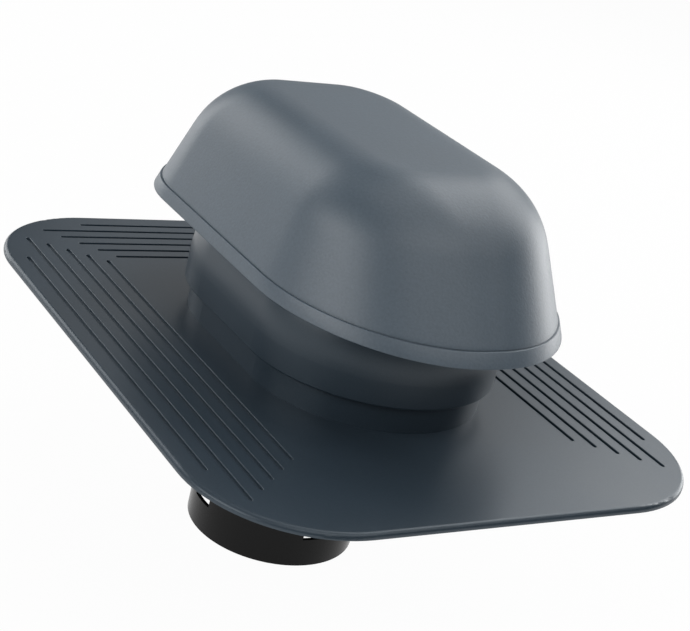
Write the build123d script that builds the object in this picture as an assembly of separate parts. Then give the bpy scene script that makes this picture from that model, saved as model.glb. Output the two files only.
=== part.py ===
"""Roof vent pipe: a flashing plate with a neck, a collar, a duct pipe and a long rounded hood.

Millimetres. The origin is on the duct's axis at its lower end, +Z points up and out of the roof,
and +Y points up the slope. Most pieces are drawn from the plate's centre on its upper face.
"""
from build123d import *
import math
import os

# Flashing plate
plate_width = 370.0
plate_length = 460.0
plate_thick = 4.0
plate_corner_r = 85.0
plate_edge_r = 3.2
groove_width = 2.8
groove_depth = 1.6
groove_edge_r = 0.5
groove_pitch = 12.0
groove_count = 6
groove_step = 10.0
side_groove_margin = 15.0
side_first_end = 79.0
side_second_end = 44.0
top_groove_margin = 17.0
top_first_end = 79.5
top_second_end = 44.5

# Neck and collar, both straight-sided ovals around the plate's centre
collar_width = 180.0
collar_length = 262.0
collar_base = 19.5
collar_top = 80.0
collar_wall = 3.0
collar_shoulder_width = 24.0
collar_shoulder_height = 43.0
collar_foot_r = 1.5
neck_inset = 5.8
neck_wall = 3.0
neck_top = 50.0
ledge_width = 13.0
ledge_thick = 3.0

# Duct pipe, thicker above the plate's lower face than where the connected duct is pushed on
duct_outer_r = 62.5
duct_seat_proud = 0.8
duct_wall = 3.0
duct_below_plate = 151.5
duct_above_collar = 24.0
duct_offset = 21.0
duct_flange_reach = 3.7
duct_flange_thick = 3.0
window_width = 20.5
window_height = 12.0
window_sill = 21.5
window_count = 4
duct_clearance = 0.4
socket_wall = 3.5
socket_depth = 22.0

# Seals
duct_seal_height = 8.0
duct_seal_depth = 1.8
duct_seal_drop = 7.0
neck_seal_height = 8.0
neck_seal_drop = 12.0
seal_seat = 1.0
seal_clearance = 0.15

# Insect screen
screen_clearance = 0.3
screen_wall = 2.0
screen_skirt = 10.0
screen_plate = 2.5
screen_slot = 4.0
screen_bar = 2.5
screen_rib = 4.0

# Hood, measured from the plate's centre and upper face
hood_rim_z = 72.6
hood_line_z = 82.0
hood_top_z = 161.8
hood_half_width = 103.4
hood_near = -169.3
hood_far = 163.3
hood_near_round = (99.0, 113.0)
hood_far_round = (94.0, 78.5)
crown_near_round = (11.0, 27.0)
crown_far_round = (11.0, 24.0)
side_draft = 16.4
near_draft = 34.1
far_draft = 26.2
side_fillet = 56.0
near_fillet = 77.0
far_fillet = 56.7
hood_wall = 3.0
band_proud = 1.1
band_drop = 0.7
line_depth = 0.7
rim_fillet = 0.8
crown_bends = (0, 10, 20, 30, 42, 54, 66, 78, 90)

# Screws and their bosses
hood_boss_r = 5.5
hood_boss_gap = 1.0
hood_boss_turn = 51.0
hood_boss_spread = 42.0
hood_boss_margin = 55.0
collar_boss_r = 5.0
collar_boss_inset = 13.6
collar_boss_shares = (-0.75, 0.95)
collar_boss_turn = 60.0
screw_r = 2.0
screw_play = 0.3
screw_room = 1.0
screw_length = 13.0
screw_head_r = 4.2
screw_head_height = 2.4
screw_head_edge = 0.8

duct_seat_r = duct_outer_r + duct_seat_proud
duct_flange_r = duct_seat_r + duct_flange_reach
plate_top = duct_below_plate + plate_thick
from_plate = Location((0, -duct_offset, plate_top))
duct_centre = (0, duct_offset)
through = 1.0
fine = 0.01


def oval(width, length):
    """A straight-sided oval that is longest along Y."""
    return SlotOverall(length, width, rotation=90)


def oval_prism(inset, low, high):
    """A prism of the collar's oval, drawn in by the inset, between two heights."""
    outline = oval(collar_width - 2 * inset, collar_length - 2 * inset)
    return Pos(0, 0, low) * extrude(outline, high - low)


def collar_solid(inset, low):
    """The collar's oval drawn in by the inset, from a low height up over its elliptical shoulder."""
    half = collar_width / 2 - inset
    high = collar_top - inset
    across = collar_shoulder_width - inset
    up = collar_shoulder_height - inset
    start = high - up
    bend = EllipticalCenterArc((half - across, start), across, up, 0, arc_size=90)
    side = Line((half, low), bend @ 0)
    top = Line(bend @ 1, (0, high))
    axis = Line((0, high), (0, low))
    profile = Plane.XZ * make_face([side, bend, top, axis, Line((0, low), (half, low))])
    straight = (collar_length - collar_width) / 2
    middle = extrude(Pos(0, straight, 0) * profile, 2 * straight)
    sides = middle + mirror(middle, Plane.YZ)
    far_end = Pos(0, straight, 0) * revolve(profile, Axis.Z, 180)
    near_end = Pos(0, -straight, 0) * revolve(profile, Axis.Z, -180)
    return sides + far_end + near_end


def disc(centre, radius, low, high):
    """A round prism between two heights."""
    return Pos(centre[0], centre[1], low) * extrude(Circle(radius), high - low)


def tube(centre, outer_r, inner_r, low, high):
    """A round tube between two heights."""
    return Pos(centre[0], centre[1], low) * extrude(Circle(outer_r) - Circle(inner_r), high - low)


def collar_bosses():
    """Places of the collar's screws: two along each straight side and two around the near end."""
    side_x = collar_width / 2 - collar_boss_inset
    turn = math.radians(collar_boss_turn)
    end_x = side_x * math.cos(turn)
    end_y = (collar_width - collar_length) / 2 - side_x * math.sin(turn)
    straight = (collar_length - collar_width) / 2
    sides = [(side * side_x, share * straight) for share in collar_boss_shares for side in (-1, 1)]
    return sides + [(-end_x, end_y), (end_x, end_y)]


def hood_bosses():
    """Places of the hood's screws: two beside the duct's far half and two near the collar's near end."""
    reach = duct_flange_r + hood_boss_r + hood_boss_gap
    turn = math.radians(hood_boss_turn)
    far_x = reach * math.cos(turn)
    far_y = duct_offset + reach * math.sin(turn)
    near_y = hood_boss_margin - collar_length / 2
    return [(-far_x, far_y), (far_x, far_y), (-hood_boss_spread, near_y), (hood_boss_spread, near_y)]


def groove_lines():
    """Centre, length and direction of each rounded groove along three sides of the plate."""
    lines = []
    for step in range(groove_count):
        shift = step * groove_pitch
        side_end = side_second_end + groove_step * (step - 1) if step else side_first_end
        top_end = top_second_end + groove_step * (step - 1) if step else top_first_end
        side_length = plate_length - 2 * side_end
        top_length = plate_width - 2 * top_end
        side_x = plate_width / 2 - side_groove_margin - shift
        top_y = plate_length / 2 - top_groove_margin - shift
        lines += [(-side_x, 0, side_length, 90), (side_x, 0, side_length, 90), (0, top_y, top_length, 0)]
    return lines


def flange_plate():
    """The flat plate with its sealing grooves and the moulded neck, which ends in an inner ledge."""
    outline = RectangleRounded(plate_width, plate_length, plate_corner_r)
    sheet = Pos(0, 0, -plate_thick) * extrude(outline, plate_thick)
    sheet = fillet(sheet.edges().group_by(Axis.Z)[-1], plate_edge_r)
    grooved = sheet
    for x, y, length, turn in groove_lines():
        slot = extrude(SlotOverall(length, groove_width, rotation=turn), groove_depth + through)
        grooved -= Pos(x, y, -groove_depth) * slot
    rims = new_edges(sheet, combined=grooved).filter_by_position(Axis.Z, -fine, fine)
    body = fillet(rims, groove_edge_r) + oval_prism(neck_inset, -plate_thick / 2, neck_top)
    body -= oval_prism(neck_inset + neck_wall, -plate_thick - through, neck_top - ledge_thick)
    body -= oval_prism(neck_inset + ledge_width, neck_top - ledge_thick - through, neck_top + through)
    seal_top = neck_top - neck_seal_drop
    band = oval_prism(neck_inset - through, seal_top - neck_seal_height, seal_top)
    band -= oval_prism(neck_inset + seal_seat, seal_top - neck_seal_height, seal_top)
    body -= band
    for centre in collar_bosses():
        body -= disc(centre, screw_r + screw_play, neck_top - ledge_thick - through, neck_top + through)
    return body


def neck_seal():
    """The rubber band that sits in the neck's outer seat, inside the collar."""
    seal_top = neck_top - neck_seal_drop
    low = seal_top - neck_seal_height
    ring = oval_prism(collar_wall + seal_clearance, low, seal_top)
    return ring - oval_prism(neck_inset + seal_seat - seal_clearance, low, seal_top)


def collar():
    """The hollow collar over the neck: shoulder, top deck, duct socket and screw bosses."""
    outer = collar_solid(0, collar_base)
    outer = fillet(outer.edges().group_by(Axis.Z)[0], collar_foot_r)
    shell = outer - collar_solid(collar_wall, collar_base - through)
    deck = collar_top - collar_wall
    root = deck + collar_wall / 2
    for centre in collar_bosses():
        shell += disc(centre, collar_boss_r, neck_top, root) & outer
    socket_r = duct_seat_r + duct_clearance
    socket_low = collar_top - socket_depth
    shell += tube(duct_centre, socket_r + socket_wall, socket_r, socket_low, root)
    shell -= disc(duct_centre, socket_r, socket_low - through, collar_top + through)
    seat_top = collar_top - duct_seal_drop
    shell -= disc(duct_centre, duct_seat_r + duct_seal_depth, seat_top - duct_seal_height, seat_top)
    tip = neck_top - ledge_thick + screw_length
    for centre in collar_bosses():
        shell -= disc(centre, screw_r + screw_play, neck_top - through, tip + screw_room)
    for centre in hood_bosses():
        shell -= disc(centre, screw_r + screw_play, deck - through, collar_top + through)
    return shell


def duct_seal():
    """The rubber ring in the socket's groove, around the duct."""
    seat_top = collar_top - duct_seal_drop
    outer_r = duct_seat_r + duct_seal_depth - seal_clearance
    return tube(duct_centre, outer_r, duct_seat_r + seal_clearance, seat_top - duct_seal_height, seat_top)


def duct_pipe():
    """The duct with its flange on the collar's deck, its thicker seat and four windows low down."""
    low = -plate_top
    high = collar_top + duct_above_collar
    core_r = duct_outer_r - duct_wall / 2
    pipe = tube(duct_centre, duct_outer_r, duct_outer_r - duct_wall, low, high)
    pipe += tube(duct_centre, duct_seat_r, core_r, -plate_thick, collar_top)
    pipe += tube(duct_centre, duct_flange_r, core_r, collar_top, collar_top + duct_flange_thick)
    sill = Pos(duct_centre[0], duct_centre[1], low + window_sill)
    window = Pos(duct_outer_r, 0, window_height / 2) * Box(duct_outer_r, window_width, window_height)
    for index in range(window_count):
        pipe -= sill * Rot(0, 0, index * 360 / window_count) * window
    return pipe


def insect_screen():
    """The push-on cap with a slotted disc that covers the duct's upper end."""
    rest = collar_top + duct_above_collar
    inner_r = duct_outer_r + screen_clearance
    outer_r = inner_r + screen_wall
    cap = disc(duct_centre, outer_r, rest, rest + screen_plate)
    cap += tube(duct_centre, outer_r, inner_r, rest - screen_skirt, rest)
    cap = fillet(cap.edges().group_by(Axis.Z)[-1], screen_plate / 2)
    open_r = duct_outer_r - duct_wall
    opening = Circle(open_r) - Rectangle(screen_rib, 2 * open_r) - Rectangle(2 * open_r, screen_rib)
    pitch = screen_slot + screen_bar
    rows = int(open_r // pitch)
    base = Pos(duct_centre[0], duct_centre[1], rest - through)
    for row in range(-rows, rows + 1):
        strip = Pos(0, row * pitch) * Rectangle(2 * open_r, screen_slot)
        cap -= base * extrude(opening & strip, screen_plate + 2 * through)
    return cap


def inset_at(height, draft, radius, depth):
    """How far a wall that leans in and rounds over has moved in at a height, for a skin at a depth."""
    lean = math.radians(draft)
    centre_z = hood_top_z - radius
    bend_z = centre_z + radius * math.sin(lean)
    centre_in = (bend_z - hood_line_z) * math.tan(lean) + radius * math.cos(lean)
    if height - centre_z <= (radius - depth) * math.sin(lean):
        return (height - hood_line_z) * math.tan(lean) + depth / math.cos(lean)
    return centre_in - math.sqrt(max((radius - depth) ** 2 - (height - centre_z) ** 2, 0))


def blend(start, end, share):
    """A pair of radii between two pairs."""
    return tuple(a + (b - a) * share for a, b in zip(start, end))


def hood_outline(height, depth, proud=0.0):
    """The hood's plan outline at a height: four straights joined by four elliptical quarters."""
    side = inset_at(height, side_draft, side_fillet, depth) - proud
    near = inset_at(height, near_draft, near_fillet, depth) - proud
    far = inset_at(height, far_draft, far_fillet, depth) - proud
    share = side / inset_at(hood_top_z, side_draft, side_fillet, 0)
    near_share = near / inset_at(hood_top_z, near_draft, near_fillet, 0)
    far_share = far / inset_at(hood_top_z, far_draft, far_fillet, 0)
    half = hood_half_width - side
    south = hood_near + near
    north = hood_far - far
    near_x = blend(hood_near_round, crown_near_round, share)[0]
    near_y = blend(hood_near_round, crown_near_round, near_share)[1]
    far_x = blend(hood_far_round, crown_far_round, share)[0]
    far_y = blend(hood_far_round, crown_far_round, far_share)[1]
    quarters = [
        (half - far_x, north - far_y, far_x, far_y, 0),
        (far_x - half, north - far_y, far_x, far_y, 90),
        (near_x - half, south + near_y, near_x, near_y, 180),
        (half - near_x, south + near_y, near_x, near_y, 270),
    ]
    arcs = [EllipticalCenterArc((x, y), rx, ry, start, arc_size=90) for x, y, rx, ry, start in quarters]
    edges = []
    for index, arc in enumerate(arcs):
        edges += [arc, Line(arc @ 1, arcs[(index + 1) % len(arcs)] @ 0)]
    return Pos(0, 0, height) * make_face(edges)


def hood_solid(low, depth):
    """The domed solid from a low height up to the crown, for the outer skin or one at a depth."""
    crown = hood_top_z - depth
    spring = hood_top_z - side_fillet * (1 - math.sin(math.radians(side_draft)))
    skirt = loft([hood_outline(height, depth) for height in (low, spring)], ruled=True)
    heights = [spring + (crown - spring) * math.sin(math.radians(bend)) for bend in crown_bends]
    return skirt + loft([hood_outline(height, depth) for height in heights])


def hood():
    """The hood shell with its proud rim band, the fine line above it and four inner bosses."""
    outer = hood_solid(hood_line_z, 0)
    band_top = hood_line_z - band_drop
    line = loft([hood_outline(height, line_depth) for height in (band_top, hood_line_z)], ruled=True)
    band = loft([hood_outline(height, 0, band_proud) for height in (hood_rim_z, band_top)], ruled=True)
    band = fillet(band.edges().group_by(Axis.Z)[0], rim_fillet)
    skin = outer + line + band
    inner = hood_solid(hood_rim_z - through, hood_wall)
    shell = skin - inner
    tip = collar_top - collar_wall + screw_length
    for centre in hood_bosses():
        boss = disc(centre, hood_boss_r, collar_top, hood_top_z) & outer
        shell += boss - disc(centre, screw_r + screw_play, collar_top - through, tip + screw_room)
    return shell


def screw(centre, seat):
    """A cheese-head screw driven upwards, its head under the seat."""
    head = disc(centre, screw_head_r, seat - screw_head_height, seat)
    head = chamfer(head.edges().group_by(Axis.Z)[0], screw_head_edge)
    return head + disc(centre, screw_r, seat, seat + screw_length)


def collar_screws():
    """The screws that hold the collar down on the neck's ledge."""
    return [screw(centre, neck_top - ledge_thick) for centre in collar_bosses()]


def hood_screws():
    """The screws that hold the hood's bosses on the collar's deck."""
    return [screw(centre, collar_top - collar_wall) for centre in hood_bosses()]


def write(name, pieces):
    """Move pieces from the plate's frame to the part's frame and write them as one file."""
    solids = [solid for piece in pieces for solid in piece.solids()]
    moved = [from_plate * solid for solid in solids]
    shape = moved[0] if len(moved) == 1 else Compound(children=moved)
    export_step(shape, f"parts/{name}.step")


os.makedirs("parts", exist_ok=True)
write("flange_plate", [flange_plate()])
write("neck_seal", [neck_seal()])
write("collar", [collar()])
write("collar_screws", collar_screws())
write("duct_seal", [duct_seal()])
write("duct_pipe", [duct_pipe()])
write("insect_screen", [insect_screen()])
write("hood", [hood()])
write("hood_screws", hood_screws())
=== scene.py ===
import math

import bpy
import numpy as np
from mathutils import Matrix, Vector


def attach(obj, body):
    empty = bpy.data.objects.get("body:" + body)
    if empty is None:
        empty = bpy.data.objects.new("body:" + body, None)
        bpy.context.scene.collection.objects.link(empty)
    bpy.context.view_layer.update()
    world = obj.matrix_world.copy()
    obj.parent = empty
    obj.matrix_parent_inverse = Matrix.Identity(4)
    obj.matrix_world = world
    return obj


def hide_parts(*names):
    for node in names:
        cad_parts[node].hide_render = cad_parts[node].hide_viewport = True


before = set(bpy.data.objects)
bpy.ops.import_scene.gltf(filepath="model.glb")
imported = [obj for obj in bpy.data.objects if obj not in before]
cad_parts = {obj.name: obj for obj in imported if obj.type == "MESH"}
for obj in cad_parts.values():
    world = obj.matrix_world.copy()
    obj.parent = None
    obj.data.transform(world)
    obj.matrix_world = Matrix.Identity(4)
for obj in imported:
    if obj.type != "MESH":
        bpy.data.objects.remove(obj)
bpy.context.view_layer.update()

# Viewpoint: a long lens from the near left corner, a little above the hood's crown.
# The camera is rolled, so the vent leans in the picture as it does on a pitched roof.
camera_place = (-0.5906, -0.8556, 0.5873)
camera_turn = (67.7085, -13.2006, -30.2193)
camera_lens = 82.2
sensor_width = 36.0

scene = bpy.context.scene
camera_data = bpy.data.cameras.new("viewpoint")
camera_data.sensor_width = sensor_width
camera_data.lens = camera_lens
camera = bpy.data.objects.new("viewpoint", camera_data)
camera.location = camera_place
camera.rotation_euler = [math.radians(angle) for angle in camera_turn]
scene.collection.objects.link(camera)
scene.camera = camera
scene.view_settings.view_transform = "Standard"

# Studio: a pale floor at the duct's lower end that the camera and reflections see almost white, a
# dim white sky, and large softboxes with dark gaps between them. Each softbox has its bearing from
# +X and its height angle, the angles that it spans across and up, all in degrees, and its glow.
softbox_distance = 2.4
softbox_aim = Vector((0.0, -0.02, 0.24))
softboxes = {
    "right_low": (8, 4, 30, 24, 4.5),
    "right_high": (18, 40, 40, 46, 2.45),
    "back": (54, 25, 34, 36, 0.5),
    "left_back": (106, 18, 30, 46, 2.5),
    "left": (182, 23, 46, 24, 3.2),
    "near": (276, 50, 66, 30, 1.45),
    "top": (90, 88, 40, 40, 0.9),
}
sky_glow = 0.04
sky_tone = (1.0, 1.0, 1.0, 1.0)
floor_reach = 14.0
floor_corners = ((-1, -1), (1, -1), (1, 1), (-1, 1))
floor_tone = (0.8, 0.8, 0.8, 1.0)
floor_shine = 0.0
floor_white = 0.97
full = 1.0


def softbox(name, bearing, rise, width, height, glow):
    """A rectangular lamp that faces the vent; its power is pi times its area times its glow."""
    bearing, rise = math.radians(bearing), math.radians(rise)
    level = math.cos(rise)
    away = Vector((math.cos(bearing) * level, math.sin(bearing) * level, math.sin(rise)))
    lamp = bpy.data.lights.new(name, "AREA")
    lamp.shape = "RECTANGLE"
    lamp.size = 2 * softbox_distance * math.tan(math.radians(width / 2))
    lamp.size_y = 2 * softbox_distance * math.tan(math.radians(height / 2))
    lamp.energy = math.pi * lamp.size * lamp.size_y * glow
    box = bpy.data.objects.new(name, lamp)
    box.location = softbox_aim + away * softbox_distance
    box.rotation_euler = (-away).to_track_quat("-Z", "Y").to_euler()
    box.visible_camera = False
    scene.collection.objects.link(box)


for name, place in softboxes.items():
    softbox(name, *place)

world = bpy.data.worlds.new("studio_sky")
world.use_nodes = True
scene.world = world
sky = world.node_tree.nodes["Background"].inputs
sky["Color"].default_value = sky_tone
sky["Strength"].default_value = sky_glow


def node(tree, kind, values=None, **settings):
    """A new shader node of a kind, with its settings and the values of its named inputs."""
    made = tree.nodes.new("ShaderNode" + kind)
    for setting, value in settings.items():
        setattr(made, setting, value)
    for socket, value in (values or {}).items():
        made.inputs[socket].default_value = value
    return made


floor_paint = bpy.data.materials.new("pale_floor")
floor_paint.use_nodes = True
tree = floor_paint.node_tree
matt = tree.nodes["Principled BSDF"]
matt.inputs["Base Color"].default_value = floor_tone
matt.inputs["Specular IOR Level"].default_value = floor_shine
path = node(tree, "LightPath")
direct = node(tree, "Math", operation="MAXIMUM")
tree.links.new(path.outputs["Is Camera Ray"], direct.inputs[0])
tree.links.new(path.outputs["Is Glossy Ray"], direct.inputs[1])
seen = node(tree, "Math", operation="MAXIMUM")
tree.links.new(direct.outputs["Value"], seen.inputs[0])
tree.links.new(path.outputs["Is Transmission Ray"], seen.inputs[1])
share = node(tree, "Math", {1: floor_white}, operation="MULTIPLY")
tree.links.new(seen.outputs["Value"], share.inputs[0])
white = node(tree, "Emission", {"Strength": full})
lit = node(tree, "MixShader")
tree.links.new(share.outputs["Value"], lit.inputs["Fac"])
tree.links.new(matt.outputs["BSDF"], lit.inputs[1])
tree.links.new(white.outputs["Emission"], lit.inputs[2])
tree.links.new(lit.outputs["Shader"], tree.nodes["Material Output"].inputs["Surface"])

floor_mesh = bpy.data.meshes.new("studio_floor")
floor_places = [(x * floor_reach, y * floor_reach, 0) for x, y in floor_corners]
floor_mesh.from_pydata(floor_places, [], [(0, 1, 2, 3)])
floor_mesh.materials.append(floor_paint)
studio_floor = bpy.data.objects.new("studio_floor", floor_mesh)
scene.collection.objects.link(studio_floor)

# Hood: one injection-moulded shell of slate-coloured plastic with a proud rim band and a fine
# line above it. Its walls lean in and round over into a flat crown. Four bosses inside stand on
# the collar's deck and take its screws.
mm = 0.001
plate_top = 155.5
duct_offset = 21.0
hood_rim_z = 72.6
hood_line_z = 82.0
hood_top_z = 161.8
hood_half_width = 103.4
hood_near = -169.3
hood_far = 163.3
hood_near_round = (99.0, 113.0)
hood_far_round = (94.0, 78.5)
crown_near_round = (11.0, 27.0)
crown_far_round = (11.0, 24.0)
side_wall = (16.4, 56.0)
near_wall = (34.1, 77.0)
far_wall = (26.2, 56.7)
hood_wall = 3.0
band_proud = 1.1
band_drop = 0.5
line_depth = 0.5
rim_round = 0.8
lip_round = 0.15
arc_steps = 48
side_steps = 20
end_steps = 10
bend_steps = 40
lean_steps = 16
round_steps = 4
crown_shares = (0.3, 0.6, 0.85)
crease_angle = 35
boss_radius = 5.5
boss_bore = 2.3
boss_foot = 80.0
boss_bore_top = 91.0
boss_top = 158.9
boss_steps = 32
boss_chamfer = 0.4
hood_bosses = ((-46.25, 78.1), (46.25, 78.1), (-42.0, -76.0), (42.0, -76.0))


def wall_inset(height, wall, depth):
    """How far a wall has moved in at a height, for the skin at a depth under its outer face.

    The wall leans in by its draft up to a fillet that ends level with the crown:
    below the fillet, inset = (height - line) * tan(draft) + depth / cos(draft);
    on it, inset = fillet centre - sqrt((radius - depth)^2 - (height - centre height)^2).
    """
    draft, radius = math.radians(wall[0]), wall[1]
    centre_z = hood_top_z - radius
    bend_z = centre_z + radius * math.sin(draft)
    centre_in = (bend_z - hood_line_z) * math.tan(draft) + radius * math.cos(draft)
    leaning = (height - hood_line_z) * math.tan(draft) + depth / math.cos(draft)
    rise = height - centre_z
    rounded = centre_in - np.sqrt(np.maximum((radius - depth) ** 2 - rise ** 2, 0))
    return np.where(rise <= (radius - depth) * math.sin(draft), leaning, rounded)


def rounded_outlines(half, near, far, near_round, far_round):
    """Plan points of outlines that are four elliptical quarters joined by straights.

    Each argument is a column with one value per outline. A quarter's point at angle a is its
    centre plus (rx cos a, ry sin a); a straight's point is a share of the way along it.
    """
    (near_x, near_y), (far_x, far_y) = near_round, far_round
    corners = [
        (half - far_x, far - far_y, far_x, far_y, end_steps),
        (far_x - half, far - far_y, far_x, far_y, side_steps),
        (near_x - half, near + near_y, near_x, near_y, end_steps),
        (half - near_x, near + near_y, near_x, near_y, side_steps),
    ]

    def quarter(index, turn):
        x, y, radius_x, radius_y, _ = corners[index % len(corners)]
        angle = turn * math.pi / 2
        return np.stack([x + radius_x * np.cos(angle), y + radius_y * np.sin(angle)], -1)

    columns = []
    for index, corner in enumerate(corners):
        columns.append(quarter(index, index + np.arange(arc_steps) / arc_steps))
        start, end = quarter(index, index + 1), quarter(index + 1, index + 1)
        share = np.arange(corner[-1])[:, None] / corner[-1]
        columns.append(start + (end - start) * share)
    return np.concatenate(columns, 1)


def hood_outlines(height, depth, proud):
    """The hood's plan outlines at columns of heights, depths and proud amounts.

    Each corner radius goes from the line's to the crown's as its wall's inset goes from none to
    full: radius = line's + (crown's - line's) * inset / full inset.
    """
    walls = (side_wall, near_wall, far_wall)
    side, near, far = [wall_inset(height, wall, depth) - proud for wall in walls]
    full_insets = [wall_inset(hood_top_z, wall, 0) for wall in walls]
    side_share, near_share, far_share = [a / b for a, b in zip((side, near, far), full_insets)]

    def blend(start, end, shares):
        return [a + (b - a) * share for a, b, share in zip(start, end, shares)]

    near_round = blend(hood_near_round, crown_near_round, (side_share, near_share))
    far_round = blend(hood_far_round, crown_far_round, (side_share, far_share))
    half = hood_half_width - side
    return rounded_outlines(half, hood_near + near, hood_far - far, near_round, far_round)


def placed(points):
    """Points in millimetres from the plate's centre and upper face, in the frame's metres."""
    return (points + np.array([0, -duct_offset, plate_top])) * mm


def closed_surface(points):
    """Vertices and faces of one closed surface, from rows of closed outlines, facing outwards.

    The first and last rows close on their middles. The side that faces out follows from the sign
    of the volume that the faces enclose, a sixth of the sum of a . (b x c) over their triangles.
    """
    rows, columns = points.shape[:2]
    first, last = rows * columns, (rows - 1) * columns
    vertices = np.vstack([points.reshape(-1, 3), points[0].mean(0), points[-1].mean(0)])
    row = np.arange(rows - 1)[:, None] * columns
    after = row + columns
    column = np.arange(columns)[None, :]
    beside = (column + 1) % columns
    quads = np.stack([row + column, row + beside, after + beside, after + column], -1)
    quads = quads.reshape(-1, 4)
    ring, next_ring = column[0], beside[0]
    low = np.stack([np.full(columns, first), next_ring, ring], -1)
    high = np.stack([np.full(columns, first + 1), last + ring, last + next_ring], -1)
    fans = np.concatenate([low, high])
    triangles = np.concatenate([quads[:, [0, 1, 2]], quads[:, [0, 2, 3]], fans])
    a, b, c = (vertices[triangles[:, index]] for index in range(3))
    if np.einsum("ij,ij->", a, np.cross(b, c)) < 0:
        quads, fans = quads[:, ::-1], fans[:, ::-1]
    return vertices, quads, fans


def piece(name, surfaces):
    """One smooth-shaded object from closed surfaces, at the origin, with sharp creases kept."""
    vertices, faces, first = [], [], 0
    for points, quads, fans in surfaces:
        vertices.append(points)
        faces += (quads + first).tolist() + (fans + first).tolist()
        first += len(points)
    mesh = bpy.data.meshes.new(name)
    mesh.from_pydata(placed(np.vstack(vertices)), [], faces)
    mesh.shade_smooth()
    mesh.set_sharp_from_angle(angle=math.radians(crease_angle))
    made = bpy.data.objects.new(name, mesh)
    scene.collection.objects.link(made)
    return made


def hood_shell():
    """The hood's skin: outlines from the crown down the outside, round the rim and up inside.

    Each station is a height, a depth under the outer face and an amount proud of it.
    """
    side_lean = math.sin(math.radians(side_wall[0]))
    spring = hood_top_z - side_wall[1] * (1 - side_lean)
    bend = np.sin(np.linspace(0, math.pi / 2, bend_steps + 1))
    turn = np.linspace(0, math.pi / 2, round_steps + 1)
    rounds = list(zip(1 - np.sin(turn), 1 - np.cos(turn)))
    band_top = hood_line_z - band_drop
    inner_top = hood_top_z - hood_wall
    runs = [
        [(spring + (hood_top_z - spring) * share, 0, 0) for share in bend[::-1]],
        [(height, 0, 0) for height in np.linspace(spring, hood_line_z + lip_round, lean_steps)[1:]],
        [(hood_line_z + lip_round * s, lip_round * c, 0) for s, c in rounds[1:]],
        [(hood_line_z, line_depth, 0), (band_top, line_depth, 0)],
        [(band_top - lip_round * c, 0, band_proud - lip_round * s) for s, c in rounds],
        [(hood_rim_z + rim_round * s, 0, band_proud - rim_round * c) for s, c in rounds],
        [(hood_rim_z + rim_round * c, hood_wall - rim_round * s, 0) for s, c in rounds],
        [(height, hood_wall, 0) for height in np.linspace(hood_rim_z, spring, lean_steps)[2:]],
        [(spring + (inner_top - spring) * share, hood_wall, 0) for share in bend[1:]],
    ]
    stations = np.array([station for run in runs for station in run])[:, :, None]
    height, depth, proud = np.moveaxis(stations, 1, 0)
    plan = hood_outlines(height, depth, proud)
    rows = np.concatenate([plan, np.broadcast_to(height[:, :, None], plan.shape[:2] + (1,))], -1)
    shares = np.array(crown_shares)[:, None, None]
    outer_middle, inner_middle = rows[0].mean(0), rows[-1].mean(0)
    outer = outer_middle + (rows[0] - outer_middle) * shares
    inner = inner_middle + (rows[-1] - inner_middle) * shares[::-1]
    return closed_surface(np.concatenate([outer, rows, inner]))


def turned(centre, stations):
    """A turned surface around an upright axis, from stations of radius and height.

    The point at angle a is the centre plus (radius cos a, radius sin a, height).
    """
    angle = np.arange(boss_steps) * 2 * math.pi / boss_steps
    radius, height = np.array(stations).T[:, :, None]
    rows = [centre[0] + radius * np.cos(angle), centre[1] + radius * np.sin(angle), height + 0 * angle]
    return closed_surface(np.stack(rows, -1))


def hood_boss(centre):
    """A boss from the collar's deck into the crown's wall, with a blind bore for its screw."""
    return turned(centre, [
        (boss_radius, boss_top), (boss_radius, boss_foot + boss_chamfer),
        (boss_radius - boss_chamfer, boss_foot), (boss_bore + boss_chamfer, boss_foot),
        (boss_bore, boss_foot + boss_chamfer), (boss_bore, boss_bore_top),
    ])


hood_bodies = [hood_shell()] + [hood_boss(centre) for centre in hood_bosses]
moulded_hood = piece("moulded_hood", hood_bodies)
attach(moulded_hood, "root")
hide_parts("hood")

pit_noise = {"Detail": 2.0, "Roughness": 0.6}
cloud_noise = {"Detail": 3.0, "Roughness": 0.55}
usual_pit_scale = 900.0
cloud_scale = 9.0
cell_share = 0.5
mottle_span = (0.7, 1.3)
cloud_span = (0.3, 0.7)
pit_strength = 0.4
plain_shine = (1, 1, 1, 1)


def group(name, inputs, outputs):
    """A shader node group with named inputs and outputs, and its two end nodes."""
    made = bpy.data.node_groups.new(name, "ShaderNodeTree")
    for label, kind, value in inputs:
        socket = made.interface.new_socket(label, in_out="INPUT", socket_type="NodeSocket" + kind)
        if value is not None:
            socket.default_value = value
    for label, kind in outputs:
        made.interface.new_socket(label, in_out="OUTPUT", socket_type="NodeSocket" + kind)
    return made, made.nodes.new("NodeGroupInput"), made.nodes.new("NodeGroupOutput")


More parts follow.
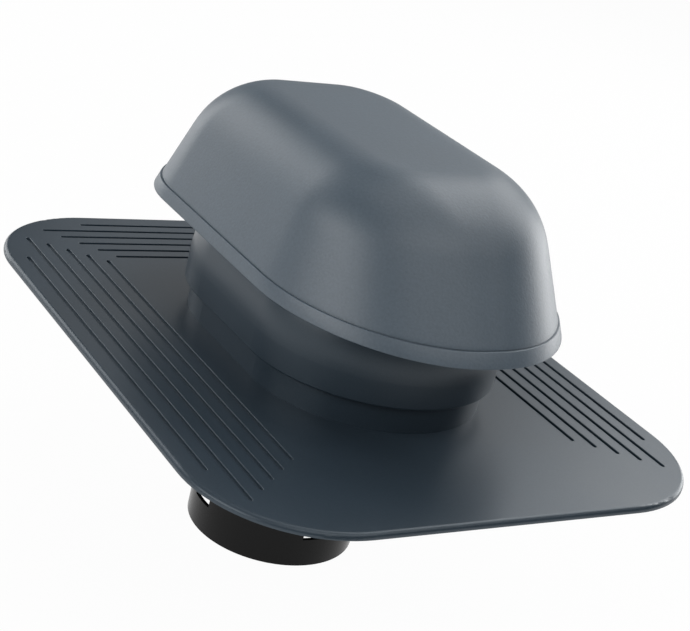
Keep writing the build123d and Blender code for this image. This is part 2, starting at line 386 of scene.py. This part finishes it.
def satin_group():
    """Satin of a spark-eroded mould: fine pits for the bump, and soft clouds for tone and sheen."""
    tree, ends_in, ends_out = group(
        "satin_mould",
        [("Vector", "Vector", None), ("Pit Scale", "Float", usual_pit_scale),
         ("Cloud Scale", "Float", cloud_scale)],
        [("Height", "Float"), ("Clouds", "Float"), ("Speckle", "Float")],
    )
    pits = node(tree, "TexNoise", pit_noise)
    clouds = node(tree, "TexNoise", cloud_noise)
    for texture, scale in ((pits, "Pit Scale"), (clouds, "Cloud Scale")):
        tree.links.new(ends_in.outputs["Vector"], texture.inputs["Vector"])
        tree.links.new(ends_in.outputs[scale], texture.inputs["Scale"])
    cells = node(tree, "TexVoronoi", feature="F1")
    tree.links.new(ends_in.outputs["Vector"], cells.inputs["Vector"])
    tree.links.new(ends_in.outputs["Pit Scale"], cells.inputs["Scale"])
    both = node(tree, "Math", {1: cell_share}, operation="MULTIPLY_ADD")
    tree.links.new(cells.outputs["Distance"], both.inputs[0])
    tree.links.new(pits.outputs["Fac"], both.inputs[2])
    tree.links.new(both.outputs["Value"], ends_out.inputs["Height"])
    tree.links.new(clouds.outputs["Fac"], ends_out.inputs["Clouds"])
    tree.links.new(pits.outputs["Fac"], ends_out.inputs["Speckle"])
    return tree


satin = satin_group()


def remapped(tree, source, before, after=(0.0, 1.0)):
    """A value carried from its place in one span to the same place in another."""
    spans = {"From Min": before[0], "From Max": before[1], "To Min": after[0], "To Max": after[1]}
    change = node(tree, "MapRange", spans)
    tree.links.new(source, change.inputs["Value"])
    return change.outputs["Result"]


def moulded_plastic(name, tone, light_tone, sheen, pit_scale, pit_depth, shine, tint=plain_shine):
    """Coloured plastic: its tone drifts to a lighter one in clouds, and its sheen varies too.

    The sheen is a span of roughness, the shine is the specular level and the tint colours it.
    """
    material = bpy.data.materials.new(name)
    material.use_nodes = True
    tree = material.node_tree
    shader = tree.nodes["Principled BSDF"]
    shader.inputs["Specular IOR Level"].default_value = shine
    shader.inputs["Specular Tint"].default_value = tint
    place = node(tree, "TexCoord")
    texture = tree.nodes.new("ShaderNodeGroup")
    texture.node_tree = satin
    texture.inputs["Pit Scale"].default_value = pit_scale
    tree.links.new(place.outputs["Object"], texture.inputs["Vector"])
    mottle = node(tree, "Math", operation="ADD")
    tree.links.new(texture.outputs["Clouds"], mottle.inputs[0])
    tree.links.new(texture.outputs["Speckle"], mottle.inputs[1])
    spread = remapped(tree, mottle.outputs["Value"], mottle_span)
    colour = node(tree, "Mix", data_type="RGBA")
    colour.inputs["A"].default_value = tone
    colour.inputs["B"].default_value = light_tone
    tree.links.new(spread, colour.inputs["Factor"])
    tree.links.new(colour.outputs["Result"], shader.inputs["Base Color"])
    gloss = remapped(tree, texture.outputs["Clouds"], cloud_span, sheen)
    tree.links.new(gloss, shader.inputs["Roughness"])
    bump = node(tree, "Bump", {"Strength": pit_strength, "Distance": pit_depth})
    tree.links.new(texture.outputs["Height"], bump.inputs["Height"])
    tree.links.new(bump.outputs["Normal"], shader.inputs["Normal"])
    return material


def finish(name, material):
    """Give a CAD node one material in place of its plain one."""
    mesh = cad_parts[name].data
    mesh.materials.clear()
    mesh.materials.append(material)


satin_slate = moulded_plastic(
    "satin_slate",
    tone=(0.066, 0.096, 0.126, 1), light_tone=(0.087, 0.124, 0.16, 1),
    sheen=(0.42, 0.47), pit_scale=560.0, pit_depth=0.00019, shine=0.95)
moulded_hood.data.materials.append(satin_slate)
finish("hood", satin_slate)

# Flashing plate: a flat moulded sheet with three sets of fine sealing grooves, rounded along its
# rim, and the oval neck in one piece with it. Its slate plastic is smoother than the hood's, and its
# darker tone is painted shade for the shadow that the hood casts on the plate and collar.
slate_plastic = moulded_plastic(
    "slate_plastic",
    tone=(0.028, 0.043, 0.058, 1), light_tone=(0.038, 0.057, 0.077, 1),
    sheen=(0.33, 0.37), pit_scale=1000.0, pit_depth=0.00002, shine=0.66, tint=(0.86, 0.94, 1.0, 1))
finish("flange_plate", slate_plastic)

# Collar: a moulded shell of the plate's plastic with an elliptical shoulder, pushed over the neck
# and screwed to the neck's ledge from below. It carries the duct's socket and the hood.
# The collar takes the plate's darker tone, painted shade under the hood's overhang.
finish("collar", slate_plastic)

# Duct: a black moulded pipe whose flange rests on the collar's deck. Four windows are cut through
# its lower end.
black_plastic = moulded_plastic(
    "black_plastic",
    tone=(0.008, 0.008, 0.008, 1), light_tone=(0.011, 0.011, 0.011, 1),
    sheen=(0.2, 0.24), pit_scale=700.0, pit_depth=0.00003, shine=0.15)
finish("duct_pipe", black_plastic)

# Insect screen: a moulded cap of the duct's black plastic with narrow slots that keep insects
# out. It is pushed over the duct's upper end.
finish("insect_screen", black_plastic)

# Seals: extruded bands of dull black rubber. One lies around the neck inside the collar, and one
# in the groove of the duct's socket.
rubber = moulded_plastic(
    "seal_rubber",
    tone=(0.011, 0.011, 0.011, 1), light_tone=(0.016, 0.016, 0.015, 1),
    sheen=(0.62, 0.74), pit_scale=1400.0, pit_depth=0.00005, shine=0.3)
finish("neck_seal", rubber)
finish("duct_seal", rubber)

# Screws: zinc-plated steel, driven upwards into the bosses of the collar and the hood. Fine rings
# run around each of them.
ring_wave = {"Scale": 900.0, "Distortion": 1.5, "Detail": 1.0}
zinc_noise = {"Scale": 350.0, "Detail": 3.0}
zinc_tone = (0.5, 0.5, 0.49, 1)
bright_zinc_tone = (0.66, 0.66, 0.64, 1)
zinc_sheen = (0.25, 0.45)
ring_bump = {"Strength": 0.2, "Distance": 0.00003}


def screw_metal():
    """Bright zinc on steel: fine turning rings around each upright screw, and cloudy dullness."""
    material = bpy.data.materials.new("zinc_steel")
    material.use_nodes = True
    tree = material.node_tree
    shader = tree.nodes["Principled BSDF"]
    shader.inputs["Metallic"].default_value = full
    place = node(tree, "TexCoord")
    rings = node(tree, "TexWave", ring_wave, bands_direction="Z")
    clouds = node(tree, "TexNoise", zinc_noise)
    for texture in (rings, clouds):
        tree.links.new(place.outputs["Object"], texture.inputs["Vector"])
    colour = node(tree, "Mix", data_type="RGBA")
    colour.inputs["A"].default_value = zinc_tone
    colour.inputs["B"].default_value = bright_zinc_tone
    tree.links.new(clouds.outputs["Fac"], colour.inputs["Factor"])
    tree.links.new(colour.outputs["Result"], shader.inputs["Base Color"])
    gloss = remapped(tree, clouds.outputs["Fac"], (0.0, 1.0), zinc_sheen)
    tree.links.new(gloss, shader.inputs["Roughness"])
    bump = node(tree, "Bump", ring_bump)
    tree.links.new(rings.outputs["Fac"], bump.inputs["Height"])
    tree.links.new(bump.outputs["Normal"], shader.inputs["Normal"])
    return material


zinc_steel = screw_metal()
finish("collar_screws", zinc_steel)
finish("hood_screws", zinc_steel)
